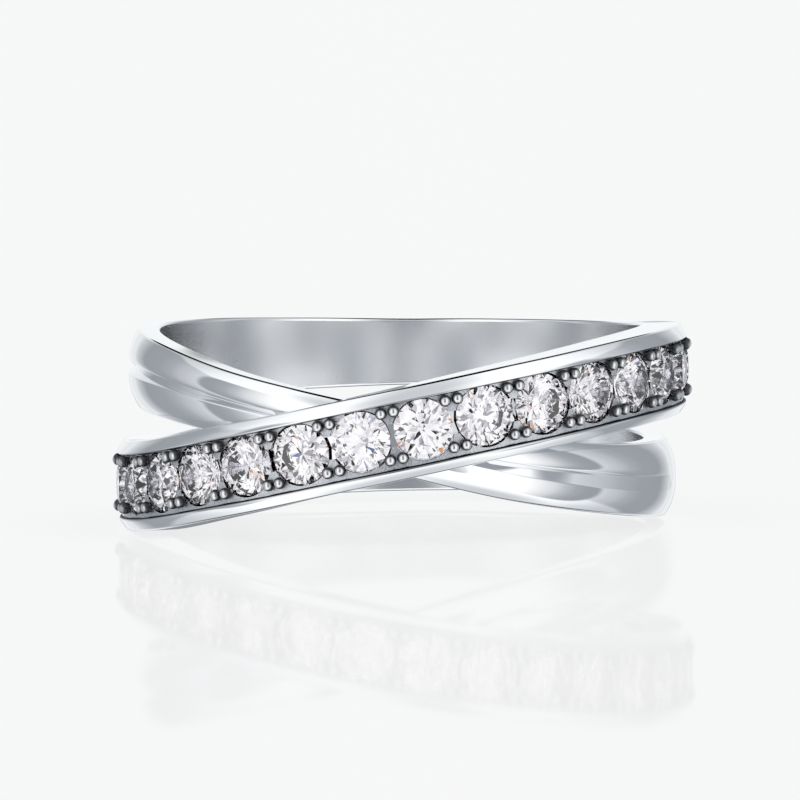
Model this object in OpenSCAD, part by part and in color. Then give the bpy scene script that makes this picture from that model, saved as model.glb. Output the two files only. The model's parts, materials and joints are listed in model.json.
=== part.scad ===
// Cross ring: a row of round stones in a channel crosses over a grooved plain band.
// Both bands run on round the back, one above the other, as one loop of metal.
// The ring lies on its side: the finger hole runs along Z, and the crossing faces -Y.

/* [Finger hole] */
// Radius of the finger hole, a US size 7
hole_r = 8.65; // [8.4:0.05:8.9]

/* [Bands] */
// Thickness of the plain band at its crown
plain_crown_t = 1.15; // [1.05:0.05:1.3]
// Thickness of the plain band at its top and bottom edges
plain_edge_t = 0.75; // [0.6:0.05:0.9]
// Thickness of the stone band where its crown would be without the channel
stone_crown_t = 1.85; // [1.75:0.05:2]
// Thickness of the stone band at its top and bottom edges
stone_edge_t = 1.35; // [1.25:0.05:1.5]
// How full the bands' outer faces are: 2 is a round arc, more is flatter
fullness = 2.6; // [2:0.1:3.4]
// Share of the plain band's height above its groove
groove_place = 0.46; // [0.4:0.01:0.5]

/* [Stones] */
// Diameter of a stone
stone_d = 2.1; // [2:0.01:2.12]
// Number of stones in the row
stone_count = 16; // [12:1:16]
// Angle from one stone to the next
stone_pitch = 12.5; // [12.4:0.02:12.5]
// Angle of the row's middle from the crossing
row_shift = 4.45; // [3:0.05:5]
// How far the row's middle lies above the middle of its band
row_up = 0.03; // [0:0.01:0.05]
// Height of a stone above its girdle
crown_h = 0.31; // [0.28:0.01:0.33]
// Thickness of a stone's girdle
girdle_t = 0.05; // [0.03:0.01:0.08]
// Depth of a stone below its girdle
pavilion_h = 0.88; // [0.84:0.01:0.92]
// Diameter of a stone's flat table
table_d = 1.2; // [1.1:0.02:1.3]

/* [Channel and beads] */
// Depth of the channel's floor under the rails' crown
channel_deep = 0.4; // [0.38:0.01:0.42]
// Distance from the row's middle to the upper rail
channel_up = 1.05; // [1.04:0.01:1.08]
// Distance from the row's middle to the lower rail
channel_down = 1.23; // [1.2:0.01:1.26]
// How far a stone's girdle lies under the channel's floor
stone_sink = 0.1; // [0.08:0.01:0.12]
// Clearance round a stone in its seat
seat_gap = 0.05; // [0.04:0.01:0.05]
// Diameter of a bead
bead_d = 0.4; // [0.38:0.01:0.41]
// Distance between the two beads of a pair
bead_pair = 0.45; // [0.43:0.01:0.46]
// Distance from the row's middle to a line of beads
bead_row = 0.82; // [0.81:0.01:0.83]
// Height of a bead's middle above the channel's floor
bead_lift = 0.14; // [0.13:0.01:0.15]

/* [Hidden] */

// Columns of the table below: the angle from the crossing, positive to the right of it,
// then the height of the middle and the width of each band,
// then the ledge under the plain band's groove, as a share of the width, and the groove's depth
ANGLE = 0;
STONE_MID = 1;
STONE_WIDE = 2;
PLAIN_MID = 3;
PLAIN_WIDE = 4;
LEDGE = 5;
GROOVE = 6;
STATIONS = [
    [-180, -2.00, 2.45,  1.95, 2.45, 0.15, 0.00],
    [-150, -1.90, 2.75,  2.00, 2.65, 0.10, 0.00],
    [-120, -1.95, 3.00,  2.10, 2.85, 0.10, 0.20],
    [ -90, -2.05, 3.15,  2.15, 2.90, 0.10, 0.33],
    [ -60, -1.82, 3.25,  1.90, 2.65, 0.08, 0.28],
    [ -30, -0.98, 3.25,  1.15, 2.25, 0.06, 0.22],
    [   0,  0.08, 3.20,  0.15, 2.20, 0.06, 0.20],
    [  30,  1.02, 3.20, -1.05, 2.30, 0.14, 0.20],
    [  60,  1.65, 3.20, -1.75, 2.50, 0.20, 0.18],
    [  90,  1.83, 3.20, -2.05, 2.80, 0.20, 0.00],
    [ 120,  1.75, 3.00, -2.00, 2.85, 0.20, 0.00],
    [ 150,  1.80, 2.75, -1.85, 2.70, 0.20, 0.00],
    [ 180,  1.95, 2.45, -2.00, 2.45, 0.15, 0.00],
];
station_gap = STATIONS[1][ANGLE] - STATIONS[0][ANGLE];
last_row = len(STATIONS) - 1;

// Shares of a rail's face where its section has a point, from the band's edge to the channel
RAIL_SHARES = [0, 0.2, 0.5, 1];
floor_points = 3;
// Heights where the stone band's section has a point where it has no channel, as many as with one
CLOSED_HEIGHTS = [-1, -0.93, -0.8, -0.6, -0.3, 0, 0.3, 0.6, 0.8, 0.93, 1];
// Shares of the plain band's face under its groove's ledge and above its groove
LOWER_SHARES = [0, 0.08, 0.25, 0.6, 1];
UPPER_SHARES = [0, 0.1, 0.3, 0.65, 0.92, 1];
groove_sharpness = 8;

sweep_step = 6;
// No two sections of a band lie nearer than this angle
apart = 0.5;
// Metal left inside the hole's wall for the bore to cut
bore_stock = 0.35;
// The hole is bored from both sides, and the lower bore is wider by this
bore_step = 0.03;
bore_reach = 10;
// The stone band thins toward the back between these angles
taper_from = 110;
taper_to = 165;
// Where two seats come near each other, a notch of this length, width and depth joins them
notch_long = 0.4;
notch_wide = 0.8;
notch_deep = 0.2;
// How far a seat's straight wall goes up past its stone's girdle
seat_up = 0.2;
// Length of the channel past its last beads, and of the slope that closes it, as angles
channel_end = 2.9;
channel_slope = 1.5;
bead_sides = 10;
// A bead's outline from its foot to its top, as shares of its radius
BEAD_OUTLINE = [[0, -1.1], [0.45, -1.1], [1, 0], [0.8, 0.6], [0.3, 0.95], [0, 0.95]];
seat_sides = 16;
facets = 8;
// Where the points of the star facets and of the lower girdle facets lie, as shares of the radius
star_place = 0.78;
low_place = 0.24;
bore_sides = 120;

floor_r = hole_r + stone_crown_t - channel_deep;
girdle_r = floor_r - stone_sink;
bead_r = floor_r + bead_lift;
channel_reach = stone_count * stone_pitch / 2 + channel_end;
channel_start = row_shift - channel_reach;
channel_stop = row_shift + channel_reach;

// The slope of a column at a row, level at both ends of the table
function row_slope(column, row) =
    row <= 0 || row >= last_row ? 0 : (STATIONS[row + 1][column] - STATIONS[row - 1][column]) / 2;

// A column's value at any angle, on a smooth curve through its rows
function at_angle(column, angle) =
    let (
        place = min(max((angle - STATIONS[0][ANGLE]) / station_gap, 0), last_row),
        row = min(floor(place), last_row - 1),
        t = place - row,
        from = STATIONS[row][column],
        to = STATIONS[row + 1][column]
    )
    from + (to - from) * (3 * t ^ 2 - 2 * t ^ 3)
    + row_slope(column, row) * (t ^ 3 - 2 * t ^ 2 + t)
    + row_slope(column, row + 1) * (t ^ 3 - t ^ 2);

// 0 in the front of the ring and 1 at the back, with a soft change between
function back_share(angle) =
    let (t = min(max((abs(angle) - taper_from) / (taper_to - taper_from), 0), 1))
    t * t * (3 - 2 * t);

function mix(from, to, share) = from + (to - from) * share;

// The outer face's radius at a height from -1, the bottom edge, to 1, the top edge
function face_r(crown, edge, height) = crown - (crown - edge) * pow(abs(height), fullness);

// The height of the row's middle
function row_mid(angle) = at_angle(STONE_MID, angle) + row_up;

// The rise of the row along its length, as an angle
function rise(angle) =
    atan((at_angle(STONE_MID, angle + 1) - at_angle(STONE_MID, angle - 1)) / (2 * PI / 180 * girdle_r));

// The angle of a stone, or of the gap after it where i ends in a half
function row_angle(i) = row_shift + (i - (stone_count + 1) / 2) * stone_pitch;

// Heights where the plain band's section has a point, from -1 to 1
function plain_heights(angle) =
    let (
        notch = 1 - 2 * groove_place,
        ledge = notch - 2 * at_angle(LEDGE, angle)
    )
    concat(
        [for (share = LOWER_SHARES) mix(-1, ledge, share)],
        [for (share = UPPER_SHARES) mix(notch, 1, share)]
    );

// A section as [radius, height] points, from the bottom to the top
function section(mid, half, radii, heights) =
    concat(
        [[hole_r - bore_stock, mid - half]],
        [for (i = [0:len(heights) - 1]) [radii[i], mid + heights[i] * half]],
        [[hole_r - bore_stock, mid + half]]
    );

function stone_section(angle) =
    let (
        half = at_angle(STONE_WIDE, angle) / 2,
        back = back_share(angle),
        crown = hole_r + mix(stone_crown_t, plain_crown_t, back),
        edge = hole_r + mix(stone_edge_t, plain_edge_t, back),
        open = abs(angle - row_shift) < channel_reach + channel_slope / 2,
        low = (row_up - channel_down / cos(rise(angle))) / half,
        high = (row_up + channel_up / cos(rise(angle))) / half,
        rail_points = len(RAIL_SHARES),
        open_heights = concat(
            [for (share = RAIL_SHARES) mix(-1, low, share)],
            [low, 0, high],
            [for (i = [rail_points - 1:-1:0]) mix(1, high, RAIL_SHARES[i])]
        ),
        heights = open ? open_heights : mix(CLOSED_HEIGHTS, plain_heights(180), back),
        radii = [
            for (i = [0:len(heights) - 1])
                let (on_floor = open && i >= rail_points && i < rail_points + floor_points)
                on_floor ? floor_r : face_r(crown, edge, heights[i])
        ]
    )
    section(at_angle(STONE_MID, angle), half, radii, heights);

function plain_section(angle) =
    let (
        heights = plain_heights(angle),
        groove = max(at_angle(GROOVE, angle), 0),
        under = len(LOWER_SHARES),
        radii = [
            for (i = [0:len(heights) - 1])
                let (dip = i < under ? 0 : groove * pow(1 - UPPER_SHARES[i - under], groove_sharpness))
                face_r(hole_r + plain_crown_t, hole_r + plain_edge_t, heights[i]) - dip
        ]
    )
    section(at_angle(PLAIN_MID, angle), at_angle(PLAIN_WIDE, angle) / 2, radii, heights);

// One band as a closed sweep of its sections round the ring
module sweep(sections, angles) {
    count = len(sections[0]);
    last = len(sections) - 1;
    points = [
        for (i = [0:last])
            for (p = sections[i])
                [p[0] * sin(angles[i]), -p[0] * cos(angles[i]), p[1]]
    ];
    sides = [
        for (i = [0:last - 1])
            for (j = [0:count - 1])
                let (
                    k = (j + 1) % count,
                    a = i * count + j,
                    b = i * count + k,
                    c = (i + 1) * count + k,
                    d = (i + 1) * count + j
                )
                each [[a, b, c], [a, c, d]]
    ];
    start = [for (j = [count - 1:-1:0]) j];
    end = [for (j = [0:count - 1]) last * count + j];
    polyhedron(points = points, faces = concat([start], sides, [end]), convexity = 8);
}

// Puts what it holds on the row's middle line, its Z pointing out of the ring
module on_row(angle, radius) {
    rotate([0, 0, angle])
        translate([0, -radius, row_mid(angle)])
            rotate([90, 0, 0])
                rotate([0, 0, rise(angle)])
                    children();
}

// One bead, placed from the middle of the gap at an angle of the row
module bead(along, across, angle) {
    tilt = rise(angle);
    aside = along * cos(tilt) - across * sin(tilt);
    up = along * sin(tilt) + across * cos(tilt);
    turn = angle + aside / bead_r * 180 / PI;
    rotate([0, 0, turn])
        translate([0, -bead_r, row_mid(angle) + up])
            rotate([90, 0, 0])
                rotate_extrude($fn = bead_sides)
                    polygon(BEAD_OUTLINE * bead_d / 2);
}

// Two pairs of beads at each end of a stone, above and below it
module beads() {
    for (i = [0:stone_count])
        for (side = [-1, 1])
            for (row = [-1, 1])
                bead(side * bead_pair / 2, row * bead_row, row_angle(i + 0.5));
}

// The space cut for one stone: a cone under its girdle and a straight wall above it
module seat() {
    wide = stone_d / 2 + seat_gap;
    depth = girdle_t + pavilion_h + seat_gap;
    rotate_extrude($fn = seat_sides)
        polygon([
            [0, -depth],
            [seat_gap, -depth],
            [wide, -girdle_t - seat_gap / 2],
            [wide, seat_up],
            [0, seat_up]
        ]);
}

// The space cut between two stones, where the metal between their seats would be too thin
module notch() {
    translate([-notch_long / 2, -notch_wide / 2, -notch_deep])
        cube([notch_long, notch_wide, notch_deep + seat_up]);
}

// A level ring of points
function around(radius, height, turn, count) = [
    for (i = [0:count - 1])
        let (angle = turn + i * 360 / count)
        [radius * cos(angle), radius * sin(angle), height]
];

// A round brilliant with its girdle's top at Z = 0: table, stars, kites, halves and pavilion
module brilliant() {
    girdle = stone_d / 2;
    table = table_d / 2;
    half_turn = 180 / facets;
    star = star_place * girdle;
    star_h = crown_h * (girdle - star * cos(half_turn)) / (girdle - table);
    low = low_place * girdle;
    low_h = -girdle_t - pavilion_h * (1 - low * cos(half_turn) / girdle);
    points = concat(
        around(table, crown_h, 0, facets),
        around(star, star_h, half_turn, facets),
        around(girdle, 0, 0, 2 * facets),
        around(girdle, -girdle_t, 0, 2 * facets),
        around(low, low_h, half_turn, facets),
        [[0, 0, -girdle_t - pavilion_h]]
    );
    stars = facets;
    top = 2 * facets;
    bottom = 4 * facets;
    lows = 6 * facets;
    culet = 7 * facets;
    faces = concat(
        [[for (i = [facets - 1:-1:0]) i]],
        [
            for (i = [0:facets - 1])
                let (
                    next = (i + 1) % facets,
                    before = (i + facets - 1) % facets,
                    corner = 2 * i,
                    middle = 2 * i + 1,
                    after = (2 * i + 2) % (2 * facets)
                )
                each [
                    [i, next, stars + i],
                    [i, stars + i, top + corner],
                    [i, top + corner, stars + before],
                    [stars + i, top + middle, top + corner],
                    [stars + i, top + after, top + middle],
                    [lows + i, bottom + corner, bottom + middle],
                    [lows + i, bottom + middle, bottom + after],
                    [culet, bottom + corner, lows + i],
                    [culet, lows + before, bottom + corner]
                ]
        ],
        [
            for (i = [0:2 * facets - 1])
                let (next = (i + 1) % (2 * facets))
                each [[top + i, top + next, bottom + next], [top + i, bottom + next, bottom + i]]
        ]
    );
    polyhedron(points = points, faces = faces, convexity = 2);
}

// Both bands, the seats, the notches and the beads, before the finger hole is bored
module body_blank() {
    even = [for (angle = [-180:sweep_step:180]) angle];
    stone_angles = concat(
        [for (angle = even) if (angle < channel_start - channel_slope - apart) angle],
        [channel_start - channel_slope, channel_start],
        [for (angle = even) if (angle > channel_start + apart && angle < channel_stop - apart) angle],
        [channel_stop, channel_stop + channel_slope],
        [for (angle = even) if (angle > channel_stop + channel_slope + apart) angle]
    );
    plain_angles = concat([-180], [for (angle = even) if (angle < 180) angle + sweep_step / 2], [180]);
    difference() {
        union() {
            sweep([for (angle = stone_angles) stone_section(angle)], stone_angles);
            sweep([for (angle = plain_angles) plain_section(angle)], plain_angles);
        }
        for (i = [1:stone_count])
            on_row(row_angle(i), girdle_r)
                seat();
        for (i = [1:stone_count - 1])
            on_row(row_angle(i + 0.5), girdle_r)
                notch();
    }
    beads();
}

module ring_body() {
    color([0.8, 0.81, 0.83])
        difference() {
            resize([0, 0, 0])
                body_blank();
            cylinder(r = hole_r, h = bore_reach, $fn = bore_sides);
            translate([0, 0, -bore_reach])
                cylinder(r = hole_r + bore_step, h = bore_reach, $fn = bore_sides);
        }
}

module stone(i) {
    color([0.93, 0.95, 1])
        on_row(row_angle(i), girdle_r)
            brilliant();
}

ring_body();
for (i = [1:stone_count])
    stone(i);
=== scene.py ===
"""The looks of a cross ring: a row of round stones in a channel crosses over a grooved plain band.

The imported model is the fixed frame. The metal is built again here with polished edges and round beads,
the stones stay as they are cut, and both get their finish. Section sizes are in millimetres, Blender's
own in metres.
"""
import json
import math

import bpy
import numpy as np
from mathutils import Matrix, Vector


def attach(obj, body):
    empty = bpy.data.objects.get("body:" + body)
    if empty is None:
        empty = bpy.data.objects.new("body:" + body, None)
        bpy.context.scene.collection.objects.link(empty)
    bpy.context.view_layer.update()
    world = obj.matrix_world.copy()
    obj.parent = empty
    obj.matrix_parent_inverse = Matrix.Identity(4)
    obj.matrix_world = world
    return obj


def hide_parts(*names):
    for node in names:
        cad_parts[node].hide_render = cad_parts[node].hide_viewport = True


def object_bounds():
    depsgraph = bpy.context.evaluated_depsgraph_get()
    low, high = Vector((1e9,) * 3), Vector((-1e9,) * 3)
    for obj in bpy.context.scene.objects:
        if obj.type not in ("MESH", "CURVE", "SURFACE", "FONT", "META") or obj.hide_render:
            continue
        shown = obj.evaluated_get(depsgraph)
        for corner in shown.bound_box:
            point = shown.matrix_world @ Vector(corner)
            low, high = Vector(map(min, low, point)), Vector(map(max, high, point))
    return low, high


bl_info = {
    "name": "Cross Ring",
    "version": (1, 0, 0),
    "blender": (4, 5, 0),
    "location": "3D View > Sidebar > Cross Ring",
    "description": "Finishes a cross ring in polished metal and clear stones on a pale stage",
    "category": "Object",
}

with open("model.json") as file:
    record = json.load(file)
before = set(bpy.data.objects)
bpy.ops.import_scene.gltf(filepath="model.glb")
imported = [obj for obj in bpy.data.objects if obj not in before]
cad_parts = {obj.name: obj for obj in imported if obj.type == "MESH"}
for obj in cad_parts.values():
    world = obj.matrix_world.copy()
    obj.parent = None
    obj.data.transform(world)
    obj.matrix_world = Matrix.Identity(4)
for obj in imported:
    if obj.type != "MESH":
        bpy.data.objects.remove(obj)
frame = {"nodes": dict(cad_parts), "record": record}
CAD_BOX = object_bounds()

MM = 0.001
HOLE_R = frame["record"]["mounts"][0]["dims"]["r_mm"]
STONE_NAMES = sorted(name for name in frame["nodes"] if name.startswith("stone_"))

# Both bands round the ring, in degrees and millimetres: the angle from the crossing, positive to the
# right of it, then the height of the middle and the width of each band, then the ledge under the plain
# band's groove, as a share of the width, and the groove's depth
ANGLE, STONE_MID, STONE_WIDE, PLAIN_MID, PLAIN_WIDE, LEDGE, GROOVE = range(7)
STATIONS = (
    (-180, -2.00, 2.45, 1.95, 2.45, 0.15, 0.00),
    (-150, -1.90, 2.75, 2.00, 2.65, 0.10, 0.00),
    (-120, -1.95, 3.00, 2.10, 2.85, 0.10, 0.20),
    (-90, -2.05, 3.15, 2.15, 2.90, 0.10, 0.33),
    (-60, -1.82, 3.25, 1.90, 2.65, 0.08, 0.28),
    (-30, -0.98, 3.25, 1.15, 2.25, 0.06, 0.22),
    (0, 0.08, 3.20, 0.15, 2.20, 0.06, 0.20),
    (30, 1.02, 3.20, -1.05, 2.30, 0.14, 0.20),
    (60, 1.65, 3.20, -1.75, 2.50, 0.20, 0.18),
    (90, 1.83, 3.20, -2.05, 2.80, 0.20, 0.00),
    (120, 1.75, 3.00, -2.00, 2.85, 0.20, 0.00),
    (150, 1.80, 2.75, -1.85, 2.70, 0.20, 0.00),
    (180, 1.95, 2.45, -2.00, 2.45, 0.15, 0.00),
)
STATION_GAP = STATIONS[1][ANGLE] - STATIONS[0][ANGLE]
LAST_ROW = len(STATIONS) - 1

# Thickness of each band over the wall of the hole, at its crown and at its edges
PLAIN_CROWN_T = 1.15
PLAIN_EDGE_T = 0.75
STONE_CROWN_T = 1.85
STONE_EDGE_T = 1.35
# A higher fullness keeps a face flatter in the middle and rounder toward its edges
FULLNESS = 2.6
# The groove's place as a share of the plain band's width, from its top, and how steeply it rises again
GROOVE_PLACE = 0.46
GROOVE_SHARPNESS = 8
# The groove's depth under which its ledge shrinks, and the share of its width that it keeps
GROOVE_END = 0.03
LEAST_LEDGE = 0.1
# The stone band thins toward the back between these angles
TAPER_FROM = 110
TAPER_TO = 165

# The row of stones, in degrees and millimetres
ROW_SHIFT = 4.45
ROW_UP = 0.03
STONE_PITCH = 12.5
STONE_D = 2.1
GIRDLE_T = 0.05
PAVILION_H = 0.88
SEAT_GAP = 0.05
SEAT_UP = 0.2
# How deep the channel is, how far the girdles lie under its floor and the beads' middles over it
CHANNEL_DEEP = 0.4
GIRDLE_DOWN = 0.1
BEAD_UP = 0.14
FLOOR_R = HOLE_R + STONE_CROWN_T - CHANNEL_DEEP
GIRDLE_R = FLOOR_R - GIRDLE_DOWN
BEAD_R = FLOOR_R + BEAD_UP
# From the row's middle to the rails
CHANNEL_UP = 1.05
CHANNEL_DOWN = 1.17
# The channel runs past the last stones and rises to the face, both in degrees
CHANNEL_PAST = 2.9
CHANNEL_SLOPE = 1.5
CHANNEL_REACH = len(STONE_NAMES) * STONE_PITCH / 2 + CHANNEL_PAST
# Length, width and depth of the notch between two seats
NOTCH = (0.4, 0.8, 0.2)

# Rounding of the channel's lips and of its creases, in millimetres
LOWER_LIP = 0.1
UPPER_LIP = 0.065
CREASE = 0.02

# The painted shade of each lip: how dark it gets, from 0 to 1, how far it may reach from the lip's corner,
# and the heights over the corner where it starts and is full
LOWER_SHADE = (1, 0.15, -0.1, -0.05)
UPPER_SHADE = (0.8, 0.1, 0.06, 0.03)
# The painted shade of a bead's foot and of its top, the heights between which it fades and how much higher it
# reaches on the side that faces up, both as shares of the bead's radius
BEAD_SHADE = (0.92, 0.1)
BEAD_FADE = (0.5, 0.85)
BEAD_SKY = 0.3
# How far a point may lie from the channel's floor and from a bead's ball that it is part of
ON_FLOOR = 0.02
ON_BEAD = 0.01

# The camera's focal length, and where it aims from the ring's centre, in millimetres
LENS = 350
AIM_UP = 0.784
AIM_LEFT = 0.133

# How soft the edges of the studio's panels are, as a share of their reach
PANEL_EDGE = 0.15
# The black of the flags round the studio
FLAG_BLACK = "#050607"
# The black of the painted shade in the narrow hollows and round the beads' feet
PAINTED_SHADE_BLACK = "#1A1D23"

# How finely the metal is swept, in degrees, and its round parts are stepped
SWEEP_STEP = 1
EDGE_STEPS = 6
LIP_STEPS = 4
CREASE_STEPS = 3
SEAT_SIDES = 48
BEAD_SIDES = 24
BEAD_RINGS = 16
# Shortest distance from a corner to where its rounding starts
LEAST_ROUNDING = 0.003
# The share of a side that the roundings at its two ends may take up together
ROUNDED_SHARE = 0.95
# One band's inner wall lies this far behind the other's, so that no two faces coincide
WALL_STEP = 0.002

# Shares of a rail's face, from its outer edge inward
RAIL_SHARES = (0, 0.37, 0.5, 0.63, 1)
# Where the channel is closed: the rounding of its lips and creases, so that the face is one smooth curve,
# and how far the floor's points move to the middle, as a share, so that no side has no length
CLOSED_ROUNDING = 3
CLOSED_PINCH = 0.02
# Shares of the channel's floor, from its lower side to its upper one
FLOOR_SHARES = (0, 0.25, 0.5, 0.75, 1)
# Shares of the plain band's face under its groove's ledge and above its groove
LOWER_SHARES = (0, 0.18, 0.26, 0.36, 0.47, 0.58, 0.7, 0.84, 1)
UPPER_SHARES = (0, 0.03, 0.06, 0.1, 0.14, 0.19, 0.25, 0.32, 0.4, 0.48, 0.56, 0.64, 0.71, 0.78, 0.85, 1)


def linear(colour):
    """Turns a hex colour in sRGB into the linear values that shaders use."""
    values = [int(colour[i:i + 2], 16) / 255 for i in (1, 3, 5)]
    return tuple(v / 12.92 if v <= 0.04045 else ((v + 0.055) / 1.055) ** 2.4 for v in values)


class RingMetalSettings(bpy.types.PropertyGroup):
    """Sizes and colours of the metal."""

    edge_rounding: bpy.props.FloatProperty(
        name="Edge rounding",
        description="Radius of the polished outer edges of both bands",
        default=0.16 * MM, min=0.03 * MM, max=0.18 * MM, precision=5, subtype="DISTANCE",
    )
    hole_rounding: bpy.props.FloatProperty(
        name="Hole rounding",
        description="Radius of the edges round the finger hole",
        default=0.12 * MM, min=0.03 * MM, max=0.13 * MM, precision=5, subtype="DISTANCE",
    )
    bead_diameter: bpy.props.FloatProperty(
        name="Bead diameter",
        description="Diameter of the beads that hold the stones",
        default=0.42 * MM, min=0.38 * MM, max=0.43 * MM, precision=5, subtype="DISTANCE",
    )
    bead_spacing: bpy.props.FloatProperty(
        name="Bead spacing",
        description="Distance between the two beads of a pair",
        default=0.45 * MM, min=0.44 * MM, max=0.46 * MM, precision=5, subtype="DISTANCE",
    )
    bead_row: bpy.props.FloatProperty(
        name="Bead row",
        description="Distance from the middle of the row of stones to a line of beads",
        default=0.825 * MM, min=0.81 * MM, max=0.83 * MM, precision=5, subtype="DISTANCE",
    )
    colour: bpy.props.FloatVectorProperty(
        name="Metal colour",
        description="Colour of the plated metal where it is cleanest",
        default=linear("#F9FAFB"), min=0, max=1, subtype="COLOR",
    )
    shade: bpy.props.FloatVectorProperty(
        name="Metal shade",
        description="Colour of the plated metal where the plating is a little thicker",
        default=linear("#F3F4F6"), min=0, max=1, subtype="COLOR",
    )


class RingStoneSettings(bpy.types.PropertyGroup):
    """Colours of the stones."""

    colour: bpy.props.FloatVectorProperty(
        name="Stone colour",
        description="Colour of the clear stone",
        default=linear("#FFFFFF"), min=0, max=1, subtype="COLOR",
    )
    tint: bpy.props.FloatVectorProperty(
        name="Stone tint",
        description="The faint tint that some zones of the stone have",
        default=linear("#F6F2FA"), min=0, max=1, subtype="COLOR",
    )


class RingStageSettings(bpy.types.PropertyGroup):
    """Place of the camera and look of the floor."""

    camera_distance: bpy.props.FloatProperty(
        name="Camera distance",
        description="Distance from the ring's centre to the camera",
        default=280 * MM, min=150 * MM, max=600 * MM, precision=4, subtype="DISTANCE",
    )
    camera_turn: bpy.props.FloatProperty(
        name="Camera turn",
        description="How far the camera stands to the right of the crossing",
        default=math.radians(6.5), min=-math.pi, max=math.pi, subtype="ANGLE",
    )
    camera_rise: bpy.props.FloatProperty(
        name="Camera rise",
        description="How far the camera stands above the ring",
        default=math.radians(4.23), min=math.radians(1), max=math.radians(80), subtype="ANGLE",
    )
    camera_roll: bpy.props.FloatProperty(
        name="Camera roll",
        description="How far the picture is turned counter-clockwise",
        default=math.radians(0.96), min=math.radians(-10), max=math.radians(10), subtype="ANGLE",
    )
    floor_radius: bpy.props.FloatProperty(
        name="Floor radius",
        description="Radius of the round floor",
        default=1.5, min=0.5, max=3, subtype="DISTANCE",
    )
    floor_colour: bpy.props.FloatVectorProperty(
        name="Floor colour",
        description="Colour of the floor and of what lies behind it",
        default=linear("#F6F6F6"), min=0, max=1, subtype="COLOR",
    )


def unit(vectors):
    """Vectors of length one, along the last axis."""
    return vectors / np.linalg.norm(vectors, axis=-1, keepdims=True)


def mix(start, end, share):
    """The value a share of the way from start to end."""
    return start + (end - start) * share


def soft_step(value, start, end):
    """0 up to start and 1 from end, with a soft change between."""
    t = min(max((value - start) / (end - start), 0), 1)
    return t * t * (3 - 2 * t)


def row_slope(column, row):
    """The slope of a column at a row, level at both ends of the table."""
    if row <= 0 or row >= LAST_ROW:
        return 0
    return (STATIONS[row + 1][column] - STATIONS[row - 1][column]) / 2


def at_angle(column, angle):
    """A column's value at any angle, on a smooth curve through its rows."""
    place = min(max((angle - STATIONS[0][ANGLE]) / STATION_GAP, 0), LAST_ROW)
    row = min(int(place), LAST_ROW - 1)
    t = place - row
    value = mix(STATIONS[row][column], STATIONS[row + 1][column], t * t * (3 - 2 * t))
    value += row_slope(column, row) * (t ** 3 - 2 * t * t + t)
    return value + row_slope(column, row + 1) * (t ** 3 - t * t)


def back_share(angle):
    """0 in the front of the ring and 1 at the back."""
    return soft_step(abs(angle), TAPER_FROM, TAPER_TO)


def face_r(crown, edge, height):
    """The outer face's radius at a height from -1, the bottom edge, to 1, the top edge."""
    return crown - (crown - edge) * abs(height) ** FULLNESS


def row_mid(angle):
    """The height of the middle of the row of stones."""
    return at_angle(STONE_MID, angle) + ROW_UP


def row_rise(angle):
    """The rise of the row along its length, in radians."""
    climb = at_angle(STONE_MID, angle + 1) - at_angle(STONE_MID, angle - 1)
    return math.atan(climb / (2 * math.radians(1) * GIRDLE_R))


def stone_angle(i):
    """The angle of stone i, counted from 1, or of the gap after it where i ends in a half."""
    return ROW_SHIFT + (i - (len(STONE_NAMES) + 1) / 2) * STONE_PITCH


def rounded(corners):
    """Points and outward normals of a closed outline with some corners rounded.

    A corner is (radius, height, rounding, steps). A point of a smooth face has 0 steps.
    """
    spots = np.array([corner[:2] for corner in corners], float)
    points = []
    normals = []
    for i, (_, _, rounding, steps) in enumerate(corners):
        come = spots[i] - spots[i - 1]
        go = spots[(i + 1) % len(spots)] - spots[i]
        come_long = np.linalg.norm(come)
        go_long = np.linalg.norm(go)
        come = come / come_long
        go = go / go_long
        normal_in = np.array((come[1], -come[0]))
        normal_out = np.array((go[1], -go[0]))
        if not steps:
            points.append(spots[i])
            normals.append(unit(normal_in + normal_out))
            continue
        turn = math.atan2(come[0] * go[1] - come[1] * go[0], come @ go)
        half = math.tan(abs(turn) / 2)
        # Two roundings share the side between them by their sizes
        beside = (corners[i - 1][2], corners[(i + 1) % len(corners)][2])
        shares = [ROUNDED_SHARE * rounding / (rounding + other) for other in beside]
        reach = min(max(rounding * half, LEAST_ROUNDING), shares[0] * come_long, shares[1] * go_long)
        first = spots[i] - come * reach
        last = spots[i] + go * reach
        for k in range(steps + 1):
            share = k / steps
            a = turn * share
            normal = np.array((
                normal_in[0] * math.cos(a) - normal_in[1] * math.sin(a),
                normal_in[0] * math.sin(a) + normal_in[1] * math.cos(a),
            ))
            # A nearly straight corner has no arc
            if half < 0.01:
                points.append(mix(first, last, share))
            else:
                radius = math.copysign(reach / half, turn)
                points.append(first + radius * (normal - normal_in))
            normals.append(normal)
    return np.array(points), np.array(normals)


def closed_outline(mid, half, wall, face, rounding):
    """A band's outline: its face, given from the bottom to the top, closed by flat edges and the wall."""
    inner = (rounding["hole"], EDGE_STEPS)
    return rounded([(wall, mid - half) + inner] + face + [(wall, mid + half) + inner])


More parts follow.
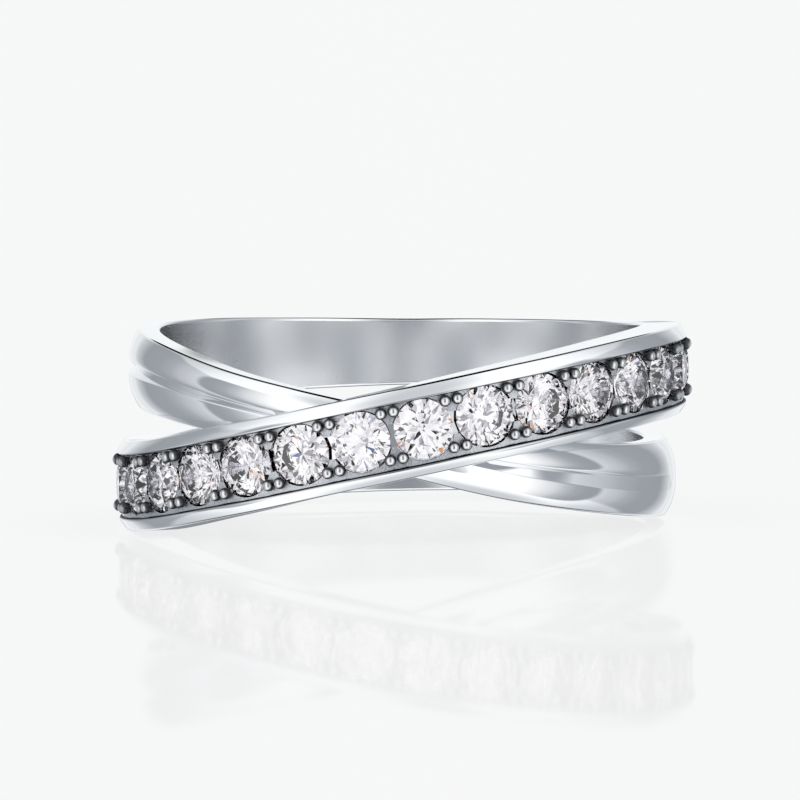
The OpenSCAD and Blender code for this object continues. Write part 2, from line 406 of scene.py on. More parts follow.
def plain_outline(angle, rounding):
    """The plain band's outline: a crowned face with a groove above a ledge."""
    mid = at_angle(PLAIN_MID, angle)
    half = at_angle(PLAIN_WIDE, angle) / 2
    groove = max(at_angle(GROOVE, angle), 0)
    notch = 1 - 2 * GROOVE_PLACE
    # The ledge shrinks where the groove has run out, so that the face is one smooth curve
    ledge = notch - 2 * at_angle(LEDGE, angle) * min(max(groove / GROOVE_END, LEAST_LEDGE), 1)
    crown = HOLE_R + PLAIN_CROWN_T
    edge = HOLE_R + PLAIN_EDGE_T
    outer = (rounding["edge"], EDGE_STEPS)
    face = []
    for share in LOWER_SHARES:
        height = mix(-1, ledge, share)
        finish = outer if share == 0 else (rounding["lip"], LIP_STEPS) if share == 1 else (0, 0)
        face.append((face_r(crown, edge, height), mid + height * half) + finish)
    for share in UPPER_SHARES:
        height = mix(notch, 1, share)
        dip = groove * (1 - share) ** GROOVE_SHARPNESS
        finish = (rounding["crease"], CREASE_STEPS) if share == 0 else outer if share == 1 else (0, 0)
        face.append((face_r(crown, edge, height) - dip, mid + height * half) + finish)
    return closed_outline(mid, half, HOLE_R, face, rounding)


def stone_outline(angle, rounding):
    """The stone band's outline: two rails beside a sunk channel, closed and thinner at the back."""
    mid = at_angle(STONE_MID, angle)
    half = at_angle(STONE_WIDE, angle) / 2
    back = back_share(angle)
    crown = HOLE_R + mix(STONE_CROWN_T, PLAIN_CROWN_T, back)
    edge = HOLE_R + mix(STONE_EDGE_T, PLAIN_EDGE_T, back)
    past = abs(angle - ROW_SHIFT) - CHANNEL_REACH
    opened = 1 - soft_step(past, 0, CHANNEL_SLOPE)
    low = (ROW_UP - CHANNEL_DOWN / math.cos(row_rise(angle))) / half
    high = (ROW_UP + CHANNEL_UP / math.cos(row_rise(angle))) / half
    face = []
    for share in RAIL_SHARES:
        finish = (rounding["edge"], EDGE_STEPS) if share == 0 else (rounding["lip"], LIP_STEPS)
        face.append((mix(-1, low, share), 0, *(finish if share in (0, 1) else (0, 0))))
    for share in FLOOR_SHARES:
        finish = (rounding["crease"], CREASE_STEPS) if share in (0, 1) else (0, 0)
        share = mix(share, 0.5, CLOSED_PINCH * (1 - opened))
        face.append((mix(low, high, share), opened, *finish))
    for share in reversed(RAIL_SHARES):
        finish = (rounding["edge"], EDGE_STEPS) if share == 0 else (rounding["upper_lip"], LIP_STEPS)
        face.append((mix(1, high, share), 0, *(finish if share in (0, 1) else (0, 0))))
    points = []
    last = len(face) - 1
    for i, (height, sunk, width, steps) in enumerate(face):
        # The points lie at even distances at the back
        height = mix(height, 2 * i / last - 1, back)
        if 0 < i < last and steps:
            width = mix(width, CLOSED_ROUNDING, 1 - opened)
        points.append((mix(face_r(crown, edge, height), FLOOR_R, sunk), mid + height * half, width, steps))
    wall = HOLE_R + WALL_STEP * (1 - back)
    return closed_outline(mid, half, wall, points, rounding)


def radial(angle):
    """The outward direction at an angle, in degrees, from the crossing."""
    return np.array((math.sin(math.radians(angle)), -math.cos(math.radians(angle)), 0))


def along(angle):
    """The direction in which the angle grows."""
    return np.array((math.cos(math.radians(angle)), math.sin(math.radians(angle)), 0))


def mesh_object(name, points, faces, normals):
    """A mesh whose face corners remember their true normals through cuts and joins."""
    mesh = bpy.data.meshes.new(name)
    mesh.from_pydata([tuple(p) for p in points], [], faces)
    corners = np.array([n for face in normals for n in face], np.float32)
    mesh.attributes.new("true_normal", "FLOAT_VECTOR", "CORNER").data.foreach_set("vector", corners.ravel())
    piece = bpy.data.objects.new(name, mesh)
    bpy.context.scene.collection.objects.link(piece)
    return piece


def swept_band(name, outlines, angles):
    """One band, swept through its outlines, with a flat end at each of its two angles at the back."""
    upright = np.array((0, 0, 1.0))
    points = []
    sides = []
    for (outline, outline_normals), angle in zip(outlines, angles):
        points.append(outline[:, :1] * radial(angle) + outline[:, 1:] * upright)
        sides.append(outline_normals[:, 1:] * -radial(angle) + outline_normals[:, :1] * upright)
    points = np.array(points)
    onward = np.gradient(points, axis=0)
    onward[0] = along(angles[0])
    onward[-1] = along(angles[-1])
    normals = unit(np.cross(onward, np.array(sides)))
    count = points.shape[1]
    faces = []
    face_normals = []
    for i in range(len(angles) - 1):
        for j in range(count):
            k = (j + 1) % count
            spots = ((i, j), (i + 1, j), (i + 1, k), (i, k))
            faces.append([a * count + b for a, b in spots])
            face_normals.append([normals[spot] for spot in spots])
    last = (len(angles) - 1) * count
    faces.append(list(range(count)))
    face_normals.append([-along(angles[0])] * count)
    faces.append([last + j for j in reversed(range(count))])
    face_normals.append([along(angles[-1])] * count)
    return mesh_object(name, points.reshape(-1, 3), faces, face_normals)


def turned(profile, sides, axis, across, place):
    """Points, faces and normals of a profile turned round an axis. It starts and ends on the axis.

    The profile is a list of (radius, height, smooth), smooth where its corner isn't to show.
    """
    third = np.cross(axis, across)
    arms = [across * math.cos(a) + third * math.sin(a) for a in np.arange(sides) * 2 * math.pi / sides]
    points = [place + axis * profile[0][1]]
    for radius, height, _ in profile[1:-1]:
        points += [place + axis * height + arm * radius for arm in arms]
    points.append(place + axis * profile[-1][1])
    steps = [np.array(b[:2]) - np.array(a[:2]) for a, b in zip(profile, profile[1:])]
    flat = [unit(np.array((step[1], -step[0]))) for step in steps]
    faces = []
    normals = []
    for k, own in enumerate(flat):
        low = own if k == 0 or not profile[k][2] else unit(own + flat[k - 1])
        high = own if k == len(flat) - 1 or not profile[k + 1][2] else unit(own + flat[k + 1])
        for i in range(sides):
            j = (i + 1) % sides
            near, far = arms[i], arms[j]
            a, b = 1 + (k - 1) * sides + i, 1 + (k - 1) * sides + j
            c, d = b + sides, a + sides
            turned_low = [low[0] * arm + low[1] * axis for arm in (near, far)]
            turned_high = [high[0] * arm + high[1] * axis for arm in (near, far)]
            if k == 0:
                faces.append([0, 1 + j, 1 + i])
                normals.append([turned_low[0], turned_high[1], turned_high[0]])
            elif k == len(flat) - 1:
                faces.append([a, b, len(points) - 1])
                normals.append([turned_low[0], turned_low[1], turned_high[0]])
            else:
                faces.append([a, b, c, d])
                normals.append([turned_low[0], turned_low[1], turned_high[1], turned_high[0]])
    return points, faces, normals


def welded(points, faces, normals):
    """The same with equal points made one."""
    places, which = np.unique(np.round(points, 6), axis=0, return_inverse=True)
    return list(places), [[int(which[i]) for i in face] for face in faces], normals


def joined(name, parts):
    """One mesh object from several (points, faces, normals)."""
    points = []
    faces = []
    normals = []
    for part_points, part_faces, part_normals in parts:
        faces += [[len(points) + i for i in face] for face in part_faces]
        points += part_points
        normals += part_normals
    return mesh_object(name, points, faces, normals)


def seat_cutters():
    """The space under and round each stone: a cone under the girdle and a straight wall above it."""
    wide = STONE_D / 2 + SEAT_GAP
    depth = GIRDLE_T + PAVILION_H + SEAT_GAP
    profile = [
        (0, -depth, False),
        (SEAT_GAP, -depth, False),
        (wide, -GIRDLE_T - SEAT_GAP / 2, False),
        (wide, SEAT_UP, False),
        (0, SEAT_UP, False),
    ]
    parts = []
    for i in range(1, len(STONE_NAMES) + 1):
        angle = stone_angle(i)
        place = radial(angle) * GIRDLE_R + np.array((0, 0, row_mid(angle)))
        parts.append(turned(profile, SEAT_SIDES, radial(angle), along(angle), place))
    return joined("seats", parts)


def notch_cutters():
    """The space between two stones, where the metal between their seats would be too thin."""
    long, wide, deep = NOTCH
    parts = []
    for i in range(1, len(STONE_NAMES)):
        angle = stone_angle(i + 0.5)
        rise = row_rise(angle)
        up = np.array((0, 0, 1.0))
        axes = np.array((
            along(angle) * math.cos(rise) + up * math.sin(rise),
            up * math.cos(rise) - along(angle) * math.sin(rise),
            radial(angle),
        ))
        middle = radial(angle) * (GIRDLE_R + (SEAT_UP - deep) / 2) + up * row_mid(angle)
        halves = np.array((long, wide, deep + SEAT_UP)) / 2
        points = []
        faces = []
        normals = []
        for axis in range(3):
            for side in (-1, 1):
                first, second = (axis + 1) % 3, (axis + 2) % 3
                for a, b in ((-1, -side), (1, -side), (1, side), (-1, side)):
                    place = np.zeros(3)
                    place[[axis, first, second]] = side, a, b
                    points.append(middle + (place * halves) @ axes)
                faces.append([len(points) - 4 + k for k in range(4)])
                normals.append([axes[axis] * side] * 4)
        parts.append(welded(points, faces, normals))
    return joined("notches", parts)


def bead_places(spacing, across):
    """The angle and the middle of each bead: two pairs between stones, one on each side of the channel."""
    places = []
    for i in range(len(STONE_NAMES) + 1):
        middle = stone_angle(i + 0.5)
        rise = row_rise(middle)
        for side in (-spacing / 2, spacing / 2):
            for row in (-across, across):
                aside = side * math.cos(rise) - row * math.sin(rise)
                up = side * math.sin(rise) + row * math.cos(rise)
                angle = middle + math.degrees(aside / BEAD_R)
                places.append((angle, radial(angle) * BEAD_R + np.array((0, 0, row_mid(middle) + up))))
    return places


def bead_balls(radius, places):
    """The round beads that hold the stones."""
    profile = []
    for k in range(BEAD_RINGS + 1):
        a = math.pi * k / BEAD_RINGS
        profile.append((radius * math.sin(a), -radius * math.cos(a), True))
    parts = [
        turned(profile, BEAD_SIDES, radial(angle), along(angle), place) for angle, place in places
    ]
    return joined("beads", parts)


def combine(piece, other, operation):
    """Joins another closed mesh to a piece or cuts it away, and deletes it."""
    modifier = piece.modifiers.new(operation, "BOOLEAN")
    modifier.operation = operation
    modifier.solver = "MANIFOLD"
    modifier.object = other
    depsgraph = bpy.context.evaluated_depsgraph_get()
    result = bpy.data.meshes.new_from_object(piece.evaluated_get(depsgraph))
    piece.modifiers.clear()
    old = piece.data
    piece.data = result
    bpy.data.meshes.remove(old)
    bpy.data.meshes.remove(other.data)


def set_true_normals(mesh):
    """Gives each face corner the normal it remembers, turned outward where a cut has turned its face."""
    count = len(mesh.loops)
    normals = np.zeros(count * 3, np.float32)
    mesh.attributes["true_normal"].data.foreach_get("vector", normals)
    normals = normals.reshape(-1, 3)
    flat = np.zeros(len(mesh.polygons) * 3, np.float32)
    mesh.polygons.foreach_get("normal", flat)
    sizes = np.zeros(len(mesh.polygons), np.int32)
    mesh.polygons.foreach_get("loop_total", sizes)
    flat = np.repeat(flat.reshape(-1, 3), sizes, axis=0)
    agree = np.sum(normals * flat, axis=1)
    normals[agree < 0] *= -1
    # A corner that a cut made new may remember another face's normal
    lost = np.abs(agree) < 0.5
    normals[lost] = flat[lost]
    mesh.shade_smooth()
    mesh.normals_split_custom_set(unit(normals))
    mesh.attributes.remove(mesh.attributes["true_normal"])


def smooth_share(values, start, end):
    """0 at the start value and 1 at the end value, eased at both, for an array of values."""
    share = np.clip((values - start) / (end - start), 0, 1)
    return share * share * (3 - 2 * share)


def paint_hollow_shade(mesh, bead_radius, places):
    """Stores painted shade for each face corner, from 0 to 1, where little light gets in: along the channel's
    lips and round the beads' feet.
    """
    count = len(mesh.loops)
    points = np.zeros(len(mesh.vertices) * 3, np.float32)
    mesh.vertices.foreach_get("co", points)
    which = np.zeros(count, np.int32)
    mesh.loops.foreach_get("vertex_index", which)
    points = points.reshape(-1, 3)[which]
    radius = np.hypot(points[:, 0], points[:, 1])
    angles = np.degrees(np.arctan2(points[:, 0], -points[:, 1]))
    steps = np.arange(-180, 181)
    above = points[:, 2] - np.interp(angles, steps, [row_mid(a) for a in steps])
    above *= np.cos(np.interp(angles, steps, [row_rise(a) for a in steps]))
    shade = np.zeros(count)
    on_row = (np.abs(angles - ROW_SHIFT) < CHANNEL_REACH) & (radius > FLOOR_R + ON_FLOOR)
    # Painted shade: dark lines along the channel's lower and upper lips
    for over, (depth, reach, start, full) in (
        (above + CHANNEL_DOWN, LOWER_SHADE), (above - CHANNEL_UP, UPPER_SHADE),
    ):
        lip = on_row & (np.abs(over) < reach)
        shade[lip] = depth * smooth_share(over[lip], start, full)
    # Painted shade round each bead's foot, reaching higher on the side that faces up
    foot, top = BEAD_SHADE
    for angle, place in places:
        offset = points - place
        near = np.abs(np.linalg.norm(offset, axis=1) - bead_radius) < ON_BEAD
        if not near.any():
            continue
        height = offset[near] @ radial(angle) / bead_radius
        upward = np.maximum(offset[near][:, 2] / bead_radius, 0)
        shade[near] = mix(foot, top, smooth_share(height - BEAD_SKY * upward, *BEAD_FADE))
    mesh.attributes.new("hollow", "FLOAT", "CORNER").data.foreach_set("value", shade.astype(np.float32))


def add_node(tree, kind, settings=None, inputs=None, stops=None):
    """Adds a node, sets its properties, sets or links its inputs and places a ramp's colour stops.

    An input is a value, an output to link, or a node whose first output in use is linked.
    """
    node = tree.nodes.new(kind)
    for name, value in (settings or {}).items():
        setattr(node, name, value)
    for key, value in (inputs or {}).items():
        named = [s for s in node.inputs if s.name == key and s.enabled]
        target = named[0] if named else node.inputs[key]
        if isinstance(value, bpy.types.Node):
            value = next(s for s in value.outputs if s.enabled)
        if isinstance(value, bpy.types.NodeSocket):
            tree.links.new(value, target)
        else:
            target.default_value = value
    for i, (place, colour) in enumerate(stops or ()):
        elements = node.color_ramp.elements
        stop = elements[i] if i < 2 else elements.new(place)
        stop.position = place
        stop.color = (*linear(colour), 1)
    return node


def new_material(name):
    """An empty material and its node tree."""
    material = bpy.data.materials.new(name)
    material.use_nodes = True
    tree = material.node_tree
    tree.nodes.clear()
    return material, tree


def rhodium_plated_silver(settings):
    """Silver, cast, polished on a felt wheel and plated with rhodium.

    The eye gets a bright, slightly cool mirror outside and a finely satined wall inside the hole, with
    painted shade darkening the channel's lips and the beads' feet.
    """
    material, tree = new_material("rhodium_plated_silver")
    place = add_node(tree, "ShaderNodeTexCoord").outputs["Object"]
    parts = add_node(tree, "ShaderNodeSeparateXYZ", inputs={"Vector": place})
    level = add_node(
        tree, "ShaderNodeCombineXYZ", inputs={"X": parts.outputs["X"], "Y": parts.outputs["Y"]},
    )
    radius = add_node(tree, "ShaderNodeVectorMath", {"operation": "LENGTH"}, {0: level})
    # 1 on the wall of the finger hole and 0 on all that lies further out
    wall = add_node(
        tree, "ShaderNodeMapRange", inputs={
            "Value": radius,
            "From Min": (HOLE_R + 0.03) * MM, "From Max": (HOLE_R + 0.08) * MM, "To Min": 1.0, "To Max": 0.0,
        },
    )
    # Plating clouds of about 2 mm
    clouds = add_node(
        tree, "ShaderNodeTexNoise", inputs={"Vector": place, "Scale": 1 / (2 * MM), "Detail": 2.0},
    )
    # Grit of the satined wall, about 0.03 mm real, drawn as 0.06 mm to show
    grit = add_node(
        tree, "ShaderNodeTexNoise", inputs={"Vector": place, "Scale": 1 / (0.06 * MM), "Detail": 1.0},
    )
    colour = add_node(
        tree, "ShaderNodeMix", {"data_type": "RGBA"}, {
            "Factor": clouds, "A": (*settings.colour, 1), "B": (*settings.shade, 1),
        },
    )
    # Painted shade darkens the channel's lips and the beads' feet, which are also made dull
    hollow = add_node(tree, "ShaderNodeAttribute", {"attribute_name": "hollow"}).outputs["Fac"]
    colour = add_node(
        tree, "ShaderNodeMix", {"data_type": "RGBA"}, {
            "Factor": hollow, "A": colour, "B": (*linear(PAINTED_SHADE_BLACK), 1),
        },
    )
    polish = add_node(
        tree, "ShaderNodeMapRange", inputs={"Value": clouds, "To Min": 0.03, "To Max": 0.06},
    )
    satin = add_node(
        tree, "ShaderNodeMapRange", inputs={"Value": grit, "To Min": 0.15, "To Max": 0.2},
    )
    roughness = add_node(
        tree, "ShaderNodeMix", {"data_type": "FLOAT"}, {"Factor": wall, "A": polish, "B": satin},
    )
    roughness = add_node(
        tree, "ShaderNodeMix", {"data_type": "FLOAT"}, {"Factor": hollow, "A": roughness, "B": 0.45},
    )
    relief = add_node(tree, "ShaderNodeMath", {"operation": "MULTIPLY"}, {0: grit, 1: wall})
    bump = add_node(
        tree, "ShaderNodeBump", inputs={"Height": relief, "Strength": 0.15, "Distance": 0.001 * MM},
    )
    metal = add_node(
        tree, "ShaderNodeBsdfPrincipled", inputs={
            "Base Color": colour, "Roughness": roughness, "Normal": bump, "Metallic": 1.0,
        },
    )
    add_node(tree, "ShaderNodeOutputMaterial", inputs={"Surface": metal})
    return material


def burr_cut_silver():
    """Silver as the setter's burr leaves it on the floor of the channel.

    The eye gets a pale matt ground between the bright beads.
    """
    material, tree = new_material("burr_cut_silver")
    place = add_node(tree, "ShaderNodeTexCoord").outputs["Object"]
    # Burr marks about 0.05 mm across, with painted shade where the light can't reach
    marks = add_node(
        tree, "ShaderNodeTexNoise", inputs={"Vector": place, "Scale": 1 / (0.05 * MM), "Detail": 1.0},
    )
    roughness = add_node(
        tree, "ShaderNodeMapRange", inputs={"Value": marks, "To Min": 0.35, "To Max": 0.55},
    )
    colour = add_node(
        tree, "ShaderNodeValToRGB", inputs={"Fac": marks}, stops=[(0.3, "#B9BEC7"), (0.7, "#F0F2F5")],
    )
    bump = add_node(
        tree, "ShaderNodeBump", inputs={"Height": marks, "Strength": 0.5, "Distance": 0.005 * MM},
    )
    metal = add_node(
        tree, "ShaderNodeBsdfPrincipled", inputs={
            "Base Color": colour, "Roughness": roughness, "Normal": bump, "Metallic": 1.0,
        },
    )
    add_node(tree, "ShaderNodeOutputMaterial", inputs={"Surface": metal})
    return material


def floor_faces(mesh):
    """The numbers of the faces that lie on the channel's floor."""
    found = []
    for face in mesh.polygons:
        x, y, z = face.center
        radius = math.hypot(x, y)
        level = face.normal.x * x + face.normal.y * y > 0.9 * radius
        if not level or abs(radius - FLOOR_R) > ON_FLOOR:
            continue
        angle = math.degrees(math.atan2(x, -y))
        up = (z - row_mid(angle)) * math.cos(row_rise(angle))
        if -CHANNEL_DOWN < up < CHANNEL_UP and abs(angle - ROW_SHIFT) < CHANNEL_REACH:
            found.append(face.index)
    return found


def cubic_zirconia(settings):
    """Cubic zirconia, cut as round brilliants and polished on a lap.

    The eye gets crisp bright and dark facets, with faint lilac zones from the crystal's growth.
    """
    material, tree = new_material("cubic_zirconia")
    place = add_node(tree, "ShaderNodeTexCoord").outputs["Object"]
    # Growth zones of about 0.7 mm
    zones = add_node(
        tree, "ShaderNodeTexNoise", inputs={"Vector": place, "Scale": 1 / (0.7 * MM), "Detail": 1.0},
    )
    colour = add_node(
        tree, "ShaderNodeMix", {"data_type": "RGBA"}, {
            "Factor": zones, "A": (*settings.colour, 1), "B": (*settings.tint, 1),
        },
    )
    stone = add_node(
        tree, "ShaderNodeBsdfPrincipled", inputs={
            "Base Color": colour, "Roughness": 0.0, "IOR": 2.16, "Transmission Weight": 1.0,
        },
    )
    add_node(tree, "ShaderNodeOutputMaterial", inputs={"Surface": stone})
    return material


def opal_acrylic(settings):
    """A sheet of opal acrylic, lit softly from below and faintly glossy.

    The eye gets an even pale floor with a weak mirror image of the ring.
    """
    material, tree = new_material("opal_acrylic")
    place = add_node(tree, "ShaderNodeTexCoord").outputs["Object"]
    clouds = add_node(
        tree, "ShaderNodeTexNoise", inputs={"Vector": place, "Scale": 1 / (40 * MM), "Detail": 2.0},
    )
    sheen = add_node(
        tree, "ShaderNodeMapRange", inputs={"Value": clouds, "To Min": 0.03, "To Max": 0.05},
    )
    glow = add_node(
        tree, "ShaderNodeEmission", inputs={"Color": (*settings.floor_colour, 1), "Strength": 0.905},
    )
    body = add_node(tree, "ShaderNodeBsdfDiffuse", inputs={"Color": (0.2, 0.2, 0.2, 1)})
    lit = add_node(tree, "ShaderNodeAddShader", inputs={0: glow, 1: body})
    gloss = add_node(tree, "ShaderNodeBsdfGlossy", inputs={"Roughness": sheen})
    mixed = add_node(tree, "ShaderNodeMixShader", inputs={0: 0.13, 1: lit, 2: gloss})
    add_node(tree, "ShaderNodeOutputMaterial", inputs={"Surface": mixed})
    return material


def zone(tree, turn, steep, middle, wide, up, down, power):
    """1 inside a rounded box of the sky and 0 outside: its middle and half width, its reach up and down."""
    across = add_node(tree, "ShaderNodeMath", {"operation": "SUBTRACT"}, {0: turn, 1: math.radians(middle)})
    across = add_node(tree, "ShaderNodeMath", {"operation": "ABSOLUTE"}, {0: across})
    across = add_node(tree, "ShaderNodeMath", {"operation": "DIVIDE"}, {0: across, 1: math.radians(wide)})
    above = add_node(tree, "ShaderNodeMath", {"operation": "DIVIDE"}, {0: steep, 1: math.radians(up)})
    below = add_node(tree, "ShaderNodeMath", {"operation": "DIVIDE"}, {0: steep, 1: -math.radians(down)})
    height = add_node(tree, "ShaderNodeMath", {"operation": "MAXIMUM"}, {0: above, 1: below})
    across = add_node(tree, "ShaderNodeMath", {"operation": "POWER"}, {0: across, 1: power})
    height = add_node(tree, "ShaderNodeMath", {"operation": "POWER"}, {0: height, 1: power})
    outward = add_node(tree, "ShaderNodeMath", {"operation": "ADD"}, {0: across, 1: height})
    return add_node(
        tree, "ShaderNodeMapRange", inputs={
            "Value": outward,
            "From Min": 1 - PANEL_EDGE, "From Max": 1 + PANEL_EDGE, "To Min": 1.0, "To Max": 0.0,
        },
    )


def jewellers_light(tree, direction):
    """What the stones see: white with small black flags, and narrow gaps that show colours."""
    flags = add_node(
        tree, "ShaderNodeTexNoise", inputs={"Vector": direction, "Scale": 3.4, "Detail": 2.0},
    )
    colour = add_node(
        tree, "ShaderNodeValToRGB", inputs={"Fac": flags}, stops=[
            (0.38, "#0E0E10"), (0.4, "#707076"), (0.43, "#ABABB0"), (0.46, "#CFCFD2"), (0.49, "#E6E6E7"),
            (0.53, "#F8F9F7"), (0.6, "#FFFFFF"),
        ],
    )
    # The gaps are where the same noise, moved aside, is highest
    for shift, least, tone in (((4, 0, 0), 0.8, "#4A5F9C"), ((0, 4, 0), 0.75, "#E09A5E")):
        moved = add_node(tree, "ShaderNodeVectorMath", {"operation": "ADD"}, {0: direction, 1: shift})
        fire = add_node(tree, "ShaderNodeTexNoise", inputs={"Vector": moved, "Scale": 3.5, "Detail": 0.0})
        share = add_node(
            tree, "ShaderNodeMapRange", inputs={"Value": fire, "From Min": least, "From Max": least + 0.02},
        )
        colour = add_node(
            tree, "ShaderNodeMix", {"data_type": "RGBA"}, {
                "Factor": share, "A": colour, "B": (*linear(tone), 1),
            },
        )
    return colour


def studio_world(settings):
    """Soft light from all round, as the polished metal mirrors it, with a plain backdrop for the camera.

    Directions are in degrees: the turn from the camera, positive to the right, and the height.
    """
    world = bpy.data.worlds.new("studio")
    world.use_nodes = True
    tree = world.node_tree
    tree.nodes.clear()
    coords = add_node(tree, "ShaderNodeTexCoord")
    # From here on -Y is toward the camera
    direction = add_node(
        tree, "ShaderNodeMapping", inputs={
            "Vector": coords.outputs["Generated"], "Rotation": (0, 0, -settings.camera_turn),
        },
    ).outputs["Vector"]
    parts = add_node(tree, "ShaderNodeSeparateXYZ", inputs={"Vector": direction})
    toward = add_node(tree, "ShaderNodeMath", {"operation": "MULTIPLY"}, {0: parts.outputs["Y"], 1: -1.0})
    turn = add_node(
        tree, "ShaderNodeMath", {"operation": "ARCTAN2"}, {0: parts.outputs["X"], 1: toward},
    )
    turn = add_node(tree, "ShaderNodeMath", {"operation": "ABSOLUTE"}, {0: turn})
    steep = add_node(tree, "ShaderNodeMath", {"operation": "ARCSINE"}, {0: parts.outputs["Z"]})
    # 0 toward the camera and 1 behind the ring
    around = add_node(tree, "ShaderNodeMath", {"operation": "DIVIDE"}, {0: turn, 1: math.pi})
    # The white tent over all
    sky = add_node(
        tree, "ShaderNodeValToRGB", inputs={"Fac": around}, stops=[
            (0.0, "#FBFCFD"), (0.44, "#FBFCFD"), (0.52, "#EDEFF1"), (0.58, "#D6D9DC"), (0.64, "#C6C9CD"),
            (0.74, "#B6BABE"), (0.82, "#BEC2C6"), (0.9, "#E4E6E8"), (1.0, "#EEF0F1"),
        ],
    )
    # The tent's sides, with a grey stretch behind the middle
    wall = add_node(
        tree, "ShaderNodeValToRGB", inputs={"Fac": around}, stops=[
            (0.52, "#CDD0D3"), (0.56, "#BFC2C6"), (0.59, "#B6B9BD"), (0.625, "#A4A8AD"), (0.68, "#989CA1"),
            (0.77, "#969A9F"), (0.83, "#C4C7CA"), (0.87, "#E8EAEB"), (0.92, "#F4F5F6"),
        ],
    )
    # The bright panels in front, which fade toward both sides
    panel = add_node(
        tree, "ShaderNodeValToRGB", inputs={"Fac": around}, stops=[
            (0.0, "#FFFFFF"), (0.29, "#FFFFFF"), (0.335, "#E8E9EA"), (0.37, "#D3D5D8"), (0.4, "#B8BBBE"),
            (0.433, "#A2A6AB"), (0.47, "#989CA1"), (0.51, "#969A9F"),
        ],
    )
    # The camera's own side, where the tent is open
    gap = add_node(
        tree, "ShaderNodeValToRGB", inputs={"Fac": around}, stops=[
            (0.0, "#888B90"), (0.06, "#8E9196"), (0.09, "#B4B7BA"), (0.115, "#D2D4D6"), (0.13, "#E6E7E8"),
        ],
    )
    # Each in front of the one before: middle, half width, reach up and down, power, colour
    zones = (
        (115, 42, 38, 40, 4.0, wall),
        (0, 93, 42, 55, 8.0, panel),
        (0, 24, 44, 34, 6.0, gap),
    )
    # The same for round ones: turn, height, where it is full and where it ends, colour. The black flags
    # behind and over the ring give its edges their dark lines.
    discs = (
        (-10, 57, 3, 24, "#C6C9CC"),
        (180, 46, 21, 25, FLAG_BLACK),
        (180, 66, 17, 21, FLAG_BLACK),
        (0, 88, 11, 15, FLAG_BLACK),
        (180, -62, 12, 34, "#5F646A"),
        (180, -8, 5, 8.5, "#84888D"),
        (60, -80, 4, 24, "#C8CBCE"),
    )
    colour = sky
    for middle, wide, up, down, power, tone in zones:
        share = zone(tree, turn, steep, middle, wide, up, down, power)
        colour = add_node(
            tree, "ShaderNodeMix", {"data_type": "RGBA"}, {"Factor": share, "A": colour, "B": tone},
        )
    for across, height, full, end, tone in discs:
        across, height = math.radians(across), math.radians(height)
        aim = (math.sin(across) * math.cos(height), -math.cos(across) * math.cos(height), math.sin(height))
        facing = add_node(
            tree, "ShaderNodeVectorMath", {"operation": "DOT_PRODUCT"}, {0: direction, 1: aim},
        )
        share = add_node(
            tree, "ShaderNodeMapRange", {"interpolation_type": "SMOOTHSTEP"}, {
                "Value": facing,
                "From Min": math.cos(math.radians(end)), "From Max": math.cos(math.radians(full)),
            },
        )
        colour = add_node(
            tree, "ShaderNodeMix", {"data_type": "RGBA"}, {
                "Factor": share, "A": colour, "B": (*linear(tone), 1),
            },
        )
    seen = add_node(tree, "ShaderNodeLightPath")
    colour = add_node(
        tree, "ShaderNodeMix", {"data_type": "RGBA"}, {
            "Factor": seen.outputs["Is Transmission Ray"], "A": colour, "B": jewellers_light(tree, direction),
        },
    )
    strength = add_node(
        tree, "ShaderNodeMapRange", inputs={
            "Value": seen.outputs["Is Transmission Ray"], "To Min": 1.12, "To Max": 1.25,
        },
    )
    studio = add_node(tree, "ShaderNodeBackground", inputs={"Color": colour, "Strength": strength})
    backdrop = add_node(
        tree, "ShaderNodeBackground", inputs={"Color": (*settings.floor_colour, 1), "Strength": 1.0},
    )
    mixed = add_node(
        tree, "ShaderNodeMixShader", inputs={0: seen.outputs["Is Camera Ray"], 1: studio, 2: backdrop},
    )
    add_node(tree, "ShaderNodeOutputWorld", inputs={"Surface": mixed})
    return world


class RING_OT_build_metal(bpy.types.Operator):
    """Builds both bands, their channel, seats and beads as one polished body"""

    bl_idname = "cross_ring.build_metal"
    bl_label = "Build Metal"

    def execute(self, context):
        settings = context.scene.ring_metal
        rounding = {
            "edge": settings.edge_rounding / MM,
            "hole": settings.hole_rounding / MM,
            "lip": LOWER_LIP,
            "upper_lip": UPPER_LIP,
            "crease": CREASE,
        }
        angles = list(range(-180, 181, SWEEP_STEP))
        metal = swept_band("polished_ring", [stone_outline(a, rounding) for a in angles], angles)
        plain = swept_band("plain_band", [plain_outline(a, rounding) for a in angles], angles)
        combine(metal, plain, "UNION")
        combine(metal, seat_cutters(), "DIFFERENCE")
        combine(metal, notch_cutters(), "DIFFERENCE")
        bead_radius = settings.bead_diameter / 2 / MM
        beads = bead_places(settings.bead_spacing / MM, settings.bead_row / MM)
        combine(metal, bead_balls(bead_radius, beads), "UNION")
        if not metal.data.polygons:
            raise RuntimeError("the metal's parts could not be joined")
        set_true_normals(metal.data)
        # Painted shade on the channel's lips and round the beads' feet, stored as a mesh attribute
        paint_hollow_shade(metal.data, bead_radius, beads)
        metal.data.materials.clear()
        metal.data.materials.append(rhodium_plated_silver(settings))
        metal.data.materials.append(burr_cut_silver())
        metal.data.polygons.foreach_set("material_index", [0] * len(metal.data.polygons))
        for number in floor_faces(metal.data):
            metal.data.polygons[number].material_index = 1
        metal.data.transform(Matrix.Scale(MM, 4))
        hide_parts("ring_body")
        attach(metal, "root")
        return {"FINISHED"}


class RING_OT_finish_stones(bpy.types.Operator):
    """Gives every stone of the row its clear, polished finish"""

    bl_idname = "cross_ring.finish_stones"
    bl_label = "Finish Stones"

    def execute(self, context):
        material = cubic_zirconia(context.scene.ring_stones)
        for name in STONE_NAMES:
            stone = frame["nodes"][name]
            stone.data.materials.clear()
            stone.data.materials.append(material)
        return {"FINISHED"}


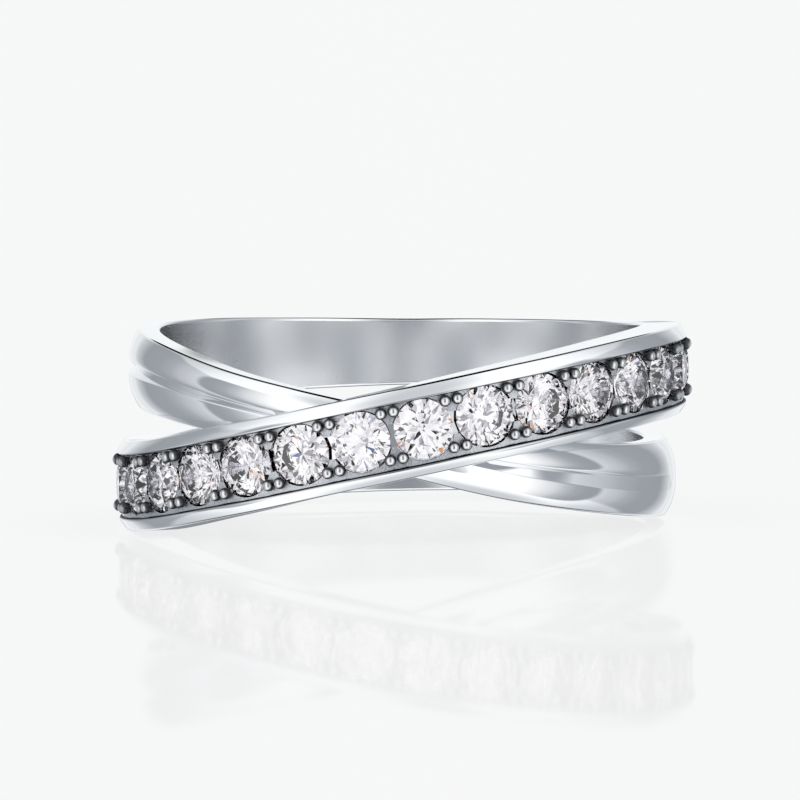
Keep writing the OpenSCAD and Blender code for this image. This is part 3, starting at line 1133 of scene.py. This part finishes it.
class RING_OT_set_stage(bpy.types.Operator):
    """Sets the pale floor, the soft light and the camera"""

    bl_idname = "cross_ring.set_stage"
    bl_label = "Set Stage"

    def execute(self, context):
        scene = context.scene
        settings = scene.ring_stage
        bpy.ops.mesh.primitive_circle_add(
            vertices=128, radius=settings.floor_radius, fill_type="NGON", location=(0, 0, CAD_BOX[0][2]),
        )
        floor = context.object
        floor.name = "floor"
        floor.data.materials.append(opal_acrylic(settings))
        # The metal mirrors the soft light below the horizon too
        floor.visible_glossy = False
        floor.visible_transmission = False
        scene.world = studio_world(settings)
        scene.view_settings.view_transform = "Standard"
        self.place_camera(scene, settings)
        return {"FINISHED"}

    def place_camera(self, scene, settings):
        """A long lens at the photo's angle, aimed a little over the ring's centre."""
        data = bpy.data.cameras.new("camera")
        data.lens = LENS
        data.clip_start = 0.01
        data.clip_end = 4
        turn, rise = settings.camera_turn, settings.camera_rise
        out = Vector((math.sin(turn) * math.cos(rise), -math.cos(turn) * math.cos(rise), math.sin(rise)))
        right = Vector((math.cos(turn), math.sin(turn), 0))
        place = out * settings.camera_distance
        aim = Vector((0, 0, AIM_UP * MM)) - right * AIM_LEFT * MM
        forward = (aim - place).normalized()
        up = right.cross(forward)
        roll = settings.camera_roll
        axes = (right * math.cos(roll) - up * math.sin(roll), up * math.cos(roll) + right * math.sin(roll))
        matrix = Matrix((*axes, -forward)).transposed().to_4x4()
        matrix.translation = place
        camera = bpy.data.objects.new("camera", data)
        camera.matrix_world = matrix
        scene.collection.objects.link(camera)
        scene.camera = camera


class RING_PT_panel(bpy.types.Panel):
    """Lists the ring's settings and the steps that build it"""

    bl_idname = "RING_PT_panel"
    bl_label = "Cross Ring"
    bl_space_type = "VIEW_3D"
    bl_region_type = "UI"
    bl_category = "Cross Ring"

    def draw(self, context):
        layout = self.layout
        for title, group, operator in STEPS:
            box = layout.box()
            box.label(text=title)
            settings = getattr(context.scene, group)
            for name in settings.bl_rna.properties.keys():
                if name not in ("rna_type", "name"):
                    box.prop(settings, name)
            box.operator(operator.bl_idname)


GROUPS = {"ring_metal": RingMetalSettings, "ring_stones": RingStoneSettings, "ring_stage": RingStageSettings}
STEPS = (
    ("Metal", "ring_metal", RING_OT_build_metal),
    ("Stones", "ring_stones", RING_OT_finish_stones),
    ("Stage", "ring_stage", RING_OT_set_stage),
)
CLASSES = (*GROUPS.values(), *(step[2] for step in STEPS), RING_PT_panel)


def register():
    """Registers the classes and hangs the settings on the scene."""
    for cls in CLASSES:
        bpy.utils.register_class(cls)
    for name, group in GROUPS.items():
        setattr(bpy.types.Scene, name, bpy.props.PointerProperty(type=group))


def unregister():
    """Takes the settings off the scene and unregisters the classes."""
    for name in GROUPS:
        delattr(bpy.types.Scene, name)
    for cls in reversed(CLASSES):
        bpy.utils.unregister_class(cls)


def main():
    """Builds the ring and its stage."""
    register()
    bpy.ops.cross_ring.set_stage()
    bpy.ops.cross_ring.build_metal()
    bpy.ops.cross_ring.finish_stones()


if __name__ == "__main__":
    main()
